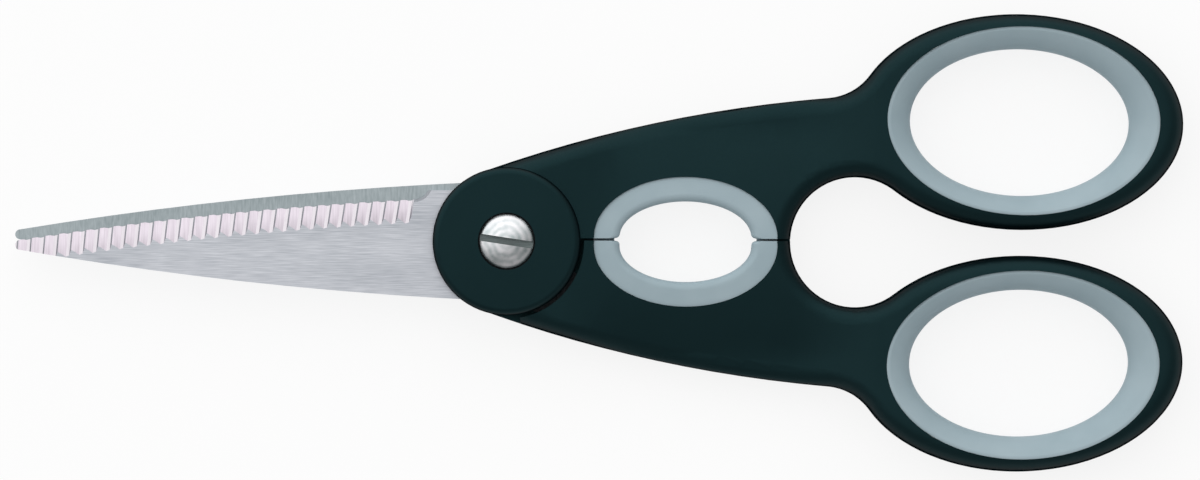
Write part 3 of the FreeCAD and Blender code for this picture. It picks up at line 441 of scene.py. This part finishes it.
# A pad's upper half stops short of the seam and its lower half passes it. The lower pad is the
# same shape turned over, so that the closed pads lap.
UPPER_END, LOWER_END = 0.55 * MM, -0.15 * MM
LAP_RELIEF = 0.02 * MM
CORNER_LENGTH, CORNER_WIDTH = 0.9 * MM, 0.7 * MM
CORNER_STEPS = 6


def add_half_ring(shape, half_length, half_width, end, inside_height, face_height):
    """Half ring from the middle height out to one face, with its inner edge rounded there."""
    hole_length, hole_width = half_length - PAD_END_WALL, half_width - PAD_SIDE_WALL
    places = [ellipse(PAD_CENTER, half_length, half_width, height)
              for height in (inside_height, face_height)]
    for bend in range(ROUND_STEPS + 1):
        turn = math.pi / 2 * bend / ROUND_STEPS
        back = PAD_ROUND * (1.0 - math.sin(turn))
        drop = math.copysign(PAD_ROUND * (1.0 - math.cos(turn)), face_height)
        places.append(ellipse(PAD_CENTER, hole_length + back, hole_width + back,
                              face_height - drop))
    places.append(ellipse(PAD_CENTER, hole_length, hole_width, inside_height))
    other_faces = set(shape.faces)
    add_closed_ring(shape, places)
    made = [face for face in shape.faces if face not in other_faces]
    cut(shape, made, ACROSS * end, ACROSS, drop=True)
    bmesh.ops.holes_fill(shape, edges=[edge for edge in shape.edges if edge.is_boundary])


def round_corners(shape, half_length, end):
    """Round off the inner corners, through the whole pad, from the end that shows above."""
    for step in range(CORNER_STEPS + 1):
        cut(shape, shape.faces[:], ACROSS * (end + CORNER_WIDTH * step / CORNER_STEPS), ACROSS)
    for vertex in shape.verts:
        short = min(max(1.0 - (vertex.co.y - end) / CORNER_WIDTH, 0.0), 1.0)
        inward = (half_length - abs(vertex.co.x)) / PAD_END_WALL
        shift = CORNER_LENGTH * (1.0 - math.sqrt(1.0 - short * short)) * inward
        vertex.co.x += math.copysign(shift, vertex.co.x)


for node, body, turn, corner in (("upper_grip_pad", "front_half", 0.0, UPPER_END),
                                 ("lower_grip_pad", "rear_half", math.pi, LOWER_END)):
    low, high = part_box(node)
    half = (high - low) / 2
    reach = max(high.y, -low.y) - PAD_CENTER.y
    ring = bmesh.new()
    add_half_ring(ring, half.x, reach, UPPER_END, 0.0, half.z)
    add_half_ring(ring, half.x, reach, LOWER_END, -LAP_RELIEF, -half.z)
    round_corners(ring, half.x, corner)
    bmesh.ops.recalc_face_normals(ring, faces=ring.faces)
    place = Matrix.Translation((low.x + half.x, 0.0, mid_height)) @ Matrix.Rotation(turn, 4, "X")
    bmesh.ops.transform(ring, matrix=place, verts=ring.verts)
    pad = new_piece(ring, f"{node}_soft", crease=28.0)
    crown(pad)
    pad.data.materials.append(grey)
    even_normals(pad)
    fit(pad, node, body)

# Pivot screw, spring washer and nut.
# Zinc plated steel. The slotted screw carries both blades on its shoulder, the dished
# washer presses them together, and the nut is held in the lower handle's pocket.

TURNING_SHARE = 0.16


def plated_steel():
    """Zinc plating, clouded, over the faint rings that turning left."""
    material, shader, place = new_material("plated_steel")
    cloud = add_noise(material, place, scale=420.0, detail=5.0)
    rings = material.node_tree.nodes.new("ShaderNodeTexWave")
    rings.wave_type = "RINGS"
    rings.rings_direction = "Z"
    rings.inputs["Scale"].default_value = 270.0
    rings.inputs["Distortion"].default_value = 5.0
    rings.inputs["Detail"].default_value = 4.0
    link(material, place, rings.inputs["Vector"])
    marks = mix_patterns(material, cloud, rings.outputs["Fac"], TURNING_SHARE)
    colour = add_ramp(material, marks, low=(0.42, 0.475, 0.48), high=(0.86, 0.85, 0.87))
    shader.inputs["Metallic"].default_value = 1.0
    link(material, colour, shader.inputs["Base Color"])
    link(material, add_range(material, cloud, 0.24, 0.42), shader.inputs["Roughness"])
    add_bump(material, shader, rings.outputs["Fac"], depth=0.015 * MM, strength=0.15)
    return material


def milled_shaded_slot():
    """Rougher milled steel of the screw's slot with cutter marks along it; its darker colour is
    painted shade in the slot.
    """
    material, shader, place = new_material("milled_shaded_slot")
    lines = add_noise(material, place, scale=3000.0, detail=4.0, stretch=(0.1, 1.0, 1.0))
    # Painted shade: the slot is coloured far darker than the plating, standing in for the shade
    # inside it.
    colour = add_ramp(material, lines, low=(0.14, 0.17, 0.17), high=(0.26, 0.30, 0.30))
    shader.inputs["Metallic"].default_value = 1.0
    link(material, colour, shader.inputs["Base Color"])
    link(material, add_range(material, lines, 0.5, 0.65), shader.inputs["Roughness"])
    add_bump(material, shader, lines, depth=0.02 * MM, strength=0.4)
    return material


SLOT_TURN = math.radians(-8.5)
SLOT_HALF = 0.62 * MM
SLOT_DEPTH = 1.5 * MM


def finish_slot(screw, top):
    """Give the faces of the slot in the screw's head their milled finish, painted darker as shade.
    """
    screw.data.materials.append(milled_shaded_slot())
    for face in screw.data.polygons:
        across = face.center.y * math.cos(SLOT_TURN) - face.center.x * math.sin(SLOT_TURN)
        if abs(across) < SLOT_HALF and face.center.z > top - SLOT_DEPTH:
            face.material_index = 1


zinc = plated_steel()
for node, crease in (("pivot_screw", 25.0), ("spring_washer", 25.0), ("pivot_nut", 20.0)):
    fastener = merged_copy(node, f"{node}_plated", crease)
    fastener.data.materials.append(zinc)
    if node == "pivot_screw":
        finish_slot(fastener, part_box(node)[1].z)
    even_normals(fastener)
    fit(fastener, node, "rear_half")

# Floor, light and camera.
# A plain white table under a soft sky that is brighter on the upper handle's side, one broad
# lamp from the same side, and a long lens looking straight down.

FLOOR_HALF = 12.0
FLOOR_DROP = 0.05 * MM
SHADOW_SHARE = 0.15
table_top = bmesh.new()
bmesh.ops.create_grid(table_top, x_segments=1, y_segments=1, size=FLOOR_HALF)
bmesh.ops.translate(table_top, verts=table_top.verts, vec=(0.0, 0.0, cad_box[0].z - FLOOR_DROP))
floor = new_piece(table_top, "floor", crease=30.0)

paper = bpy.data.materials.new("white_table")
paper.use_nodes = True
paper_nodes = paper.node_tree.nodes
paper_nodes.remove(paper_nodes["Principled BSDF"])
diffuse = paper_nodes.new("ShaderNodeBsdfDiffuse")
diffuse.inputs["Color"].default_value = (1.0, 1.0, 1.0, 1.0)
glow = paper_nodes.new("ShaderNodeEmission")
glow.inputs["Strength"].default_value = 1.0
rays = paper_nodes.new("ShaderNodeLightPath").outputs
seen = add_math(paper, "MAXIMUM", rays["Is Camera Ray"], rays["Is Glossy Ray"])
seen = add_math(paper, "MAXIMUM", seen, rays["Is Transmission Ray"])
white = paper_nodes.new("ShaderNodeMixShader")
link(paper, add_range(paper, seen, 0.0, 1.0 - SHADOW_SHARE, (0.0, 1.0)), white.inputs["Fac"])
link(paper, diffuse.outputs["BSDF"], white.inputs[1])
link(paper, glow.outputs["Emission"], white.inputs[2])
link(paper, white.outputs["Shader"], paper_nodes["Material Output"].inputs["Surface"])
floor.data.materials.append(paper)

SKY_STRENGTH = 1.7
BRIGHT_SIDE = (-0.35, 0.75, 0.56)
# Places on the way from the dark side, 0, to the bright side, 1, each with the sky's level there.
SKY_LEVELS = ((0.0, 0.48), (0.12, 0.45), (0.4, 0.25), (0.55, 0.18), (0.64, 0.23), (0.74, 0.43),
              (0.78, 0.56), (0.85, 0.82), (0.93, 0.84), (1.0, 0.80))
sky = bpy.data.worlds.new("studio_sky")
sky.use_nodes = True
bpy.context.scene.world = sky
sky_nodes = sky.node_tree.nodes
towards = sky_nodes.new("ShaderNodeVectorMath")
towards.operation = "DOT_PRODUCT"
towards.inputs[1].default_value = BRIGHT_SIDE
link(sky, sky_nodes.new("ShaderNodeTexCoord").outputs["Generated"], towards.inputs[0])
fade = sky_nodes.new("ShaderNodeValToRGB")
stops = fade.color_ramp.elements
stops.remove(stops[1])
stops[0].position = 0.0
for position, level in SKY_LEVELS:
    stop = stops[0] if position == 0.0 else stops.new(position)
    stop.color = (level, level, level, 1.0)
link(sky, add_range(sky, towards.outputs["Value"], 0.0, 1.0, (-1.0, 1.0)), fade.inputs["Fac"])
link(sky, fade.outputs["Color"], sky_nodes["Background"].inputs["Color"])
sky_nodes["Background"].inputs["Strength"].default_value = SKY_STRENGTH

LAMP_PLACE = Vector((-0.45, 1.1, 0.75))
LAMP_SIZE = (2.4, 1.6)
LAMP_POWER = 1.5
lamp_data = bpy.data.lights.new("broad_lamp", "AREA")
lamp_data.shape = "RECTANGLE"
lamp_data.size, lamp_data.size_y = LAMP_SIZE
lamp_data.energy = LAMP_POWER
lamp = bpy.data.objects.new("broad_lamp", lamp_data)
lamp.location = LAMP_PLACE
lamp.rotation_euler = (-LAMP_PLACE).to_track_quat("-Z", "Y").to_euler()
bpy.context.scene.collection.objects.link(lamp)

IMAGE_WIDTH = 1200
MM_PER_PIXEL = 0.17065
PIVOT_PIXEL = Vector((506.5, 241.5))
IMAGE_CENTER = Vector((600.0, 240.0))
CAMERA_HEIGHT = 1.6
CAMERA_TURN = math.radians(0.19)
SENSOR_WIDTH = 36.0
VIEW_END = 50.0
camera_data = bpy.data.cameras.new("camera")
camera_data.sensor_width = SENSOR_WIDTH
camera_data.lens = SENSOR_WIDTH * CAMERA_HEIGHT / (IMAGE_WIDTH * MM_PER_PIXEL * MM)
camera_data.clip_end = VIEW_END
camera = bpy.data.objects.new("camera", camera_data)
offset = (IMAGE_CENTER - PIVOT_PIXEL) * MM_PER_PIXEL * MM
camera.location = (offset.x, -offset.y, CAMERA_HEIGHT + cad_box[1].z)
camera.rotation_euler = (0.0, 0.0, CAMERA_TURN)
bpy.context.scene.collection.objects.link(camera)
bpy.context.scene.camera = camera
bpy.context.scene.view_settings.view_transform = "Standard"
